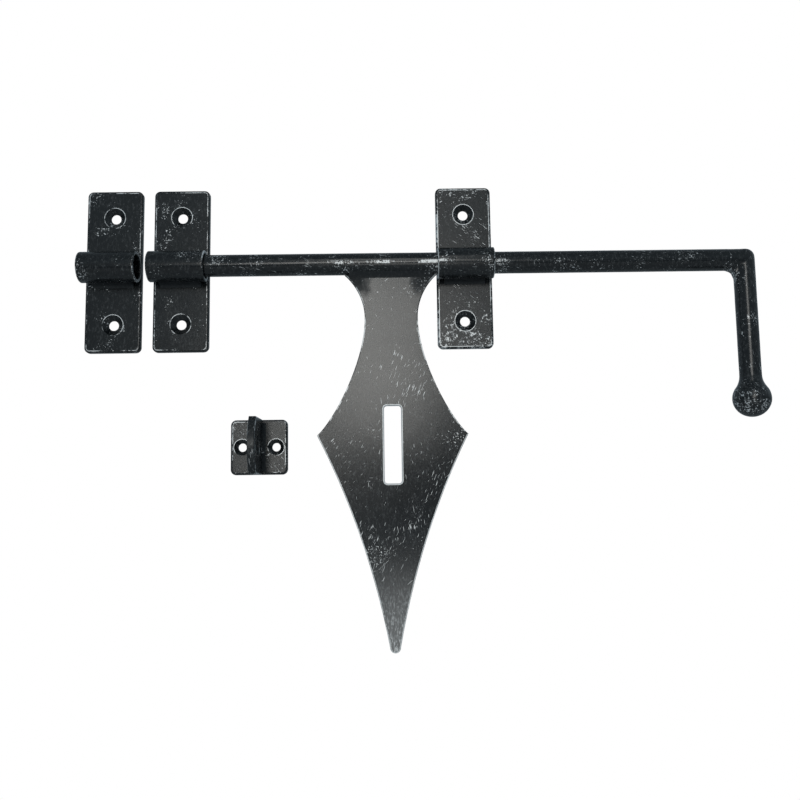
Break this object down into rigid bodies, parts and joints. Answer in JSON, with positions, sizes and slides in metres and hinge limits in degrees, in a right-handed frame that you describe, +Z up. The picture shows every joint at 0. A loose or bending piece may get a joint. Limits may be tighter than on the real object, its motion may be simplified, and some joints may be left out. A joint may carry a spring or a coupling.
{
  "type": "toggle bolt latch",
  "caption": "Sliding door bolt in black painted steel: round rod in guide tubes, spear-shaped hasp leaf with a slot, knobbed handle, keeper, and a staple for a padlock.",
  "frame": {"origin": "centre of the left guide plate's back face, behind the bolt's axis, on the door's face", "axes": "+X along the bolt from the keeper towards the handle, +Y into the door, +Z up"},
  "size_m": [0.3745, 0.031, 0.2539],
  "materials": {
    "plate_paint": "satin black paint with silver rubbed on its edges and high spots",
    "tube_paint": "satin black paint with silver rubbed on its edges and high spots",
    "lug_paint": "satin black paint with silver rubbed on its edges and high spots",
    "weld_paint": "satin black paint with silver rubbed on its edges and high spots",
    "rod_paint": "satin black paint with silver rubbed on its edges and high spots",
    "leaf_paint": "satin black paint with silver rubbed on its edges and high spots",
    "handle_paint": "satin black paint with silver rubbed on its edges and high spots"
  },
  "bodies": {
    "door_fittings": {"keeper_plate": "plate_paint", "keeper_tube": "tube_paint", "keeper_welds": "weld_paint", "left_guide_plate": "plate_paint", "left_guide_tube": "tube_paint", "left_guide_welds": "weld_paint", "right_guide_plate": "plate_paint", "right_guide_tube": "tube_paint", "right_guide_welds": "weld_paint", "staple_plate": "plate_paint", "staple_lug": "lug_paint", "staple_welds": "weld_paint"},
    "sliding_rod": {"bolt_rod": "rod_paint"},
    "leaf_and_handle": {"hasp_leaf": "leaf_paint", "leaf_welds": "weld_paint", "handle": "handle_paint", "elbow_weld": "weld_paint"}
  },
  "joints": [
    {"name": "bolt_throw", "type": "slide", "parent": "door_fittings", "child": "sliding_rod", "axis": [-1, 0, 0], "range_m": [0, 0.03]},
    {"name": "leaf_lift", "type": "hinge", "parent": "sliding_rod", "child": "leaf_and_handle", "pos_m": [0.1168, -0.0115, 0], "axis": [-1, 0, 0], "range_deg": [0, 180]}
  ]
}
